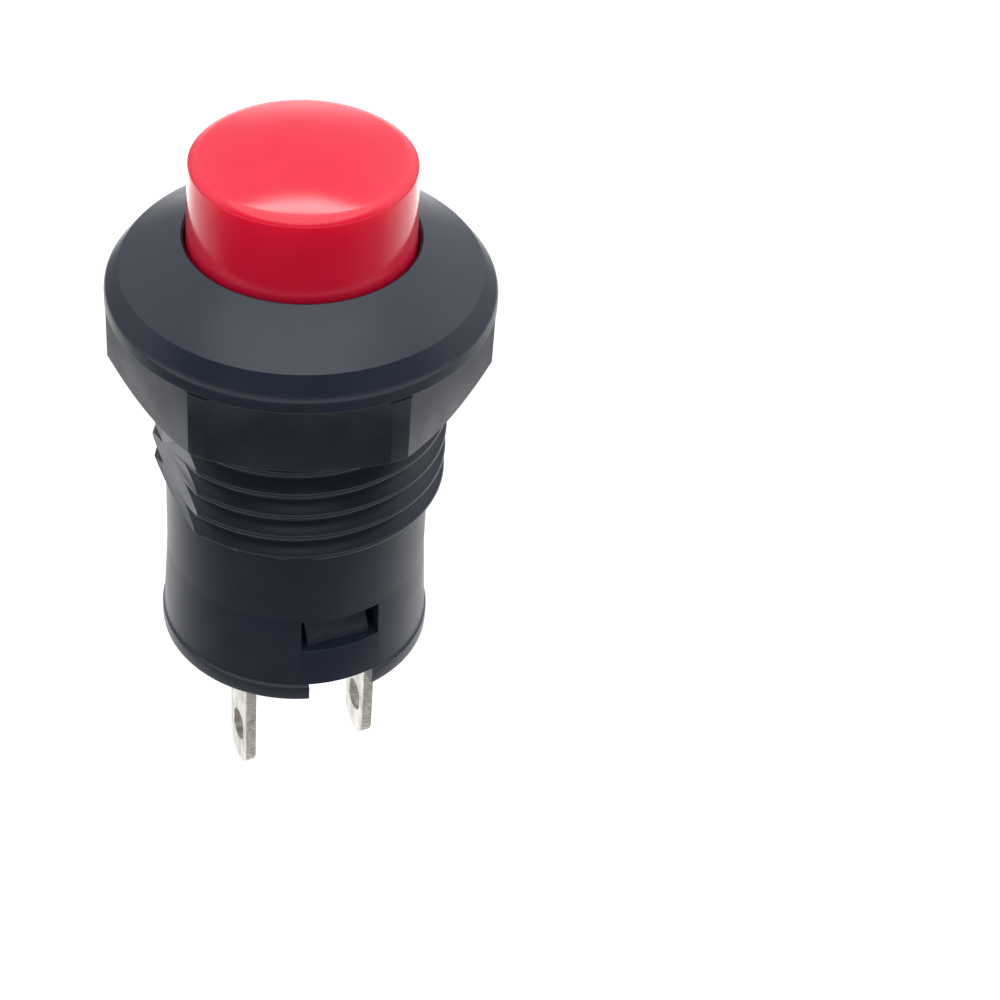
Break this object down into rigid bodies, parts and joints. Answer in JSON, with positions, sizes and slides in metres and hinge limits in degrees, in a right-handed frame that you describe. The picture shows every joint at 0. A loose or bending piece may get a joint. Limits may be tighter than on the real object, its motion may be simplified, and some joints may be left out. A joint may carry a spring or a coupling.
{
  "type": "pushbutton switch",
  "caption": "Round panel-mount pushbutton switch with a domed red button, sloped bezel, threaded barrel, hex nut and solder lugs.",
  "frame": {"origin": "on the barrel's axis, in the plane of the bezel's underside, where it seats on the panel", "axes": "+Z out through the button along its travel; the two solder lugs stand apart along X and hang towards -Z; a latch window faces -Y"},
  "size_m": [0.0178, 0.0178, 0.0367],
  "materials": {
    "black_plastic": "moulded satin",
    "nut_plastic": "moulded satin",
    "base_plastic": "moulded matte",
    "red_plastic": "polished",
    "stem_plastic": "moulded",
    "tinned_brass": "tin plated",
    "contact_brass": "rolled strip",
    "silver_contact": "silver faced",
    "spring_steel": "drawn wire"
  },
  "bodies": {
    "housing": {"housing": "black_plastic", "return_spring": "spring_steel", "terminal_base": "base_plastic", "terminal_left": "tinned_brass", "terminal_right": "tinned_brass", "fixed_contact_left": "silver_contact", "fixed_contact_right": "silver_contact"},
    "button": {"button_cap": "red_plastic", "plunger": "stem_plastic", "stop_ring": "spring_steel", "bridge_clip": "spring_steel", "contact_spring": "spring_steel"},
    "bridge": {"contact_bridge": "contact_brass", "moving_contact_left": "silver_contact", "moving_contact_right": "silver_contact"},
    "nut": {"hex_nut": "nut_plastic"}
  },
  "joints": [
    {"name": "button_press", "type": "slide", "parent": "housing", "child": "button", "axis": [0, 0, -1], "range_m": [0, 0.0025], "stiffness_N_per_m": 500, "springref_m": -0.002, "deforming": ["return_spring"]},
    {"name": "bridge_overtravel", "type": "slide", "parent": "button", "child": "bridge", "axis": [0, 0, 1], "range_m": [0, 0.00083], "deforming": ["contact_spring"]},
    {"name": "nut_travel", "type": "slide", "parent": "housing", "child": "nut", "axis": [0, 0, -1], "range_m": [0, 0.0061]}
  ],
  "couplings": [
    {"joint": "bridge_overtravel", "follows": "button_press", "ratio": 0.328}
  ]
}
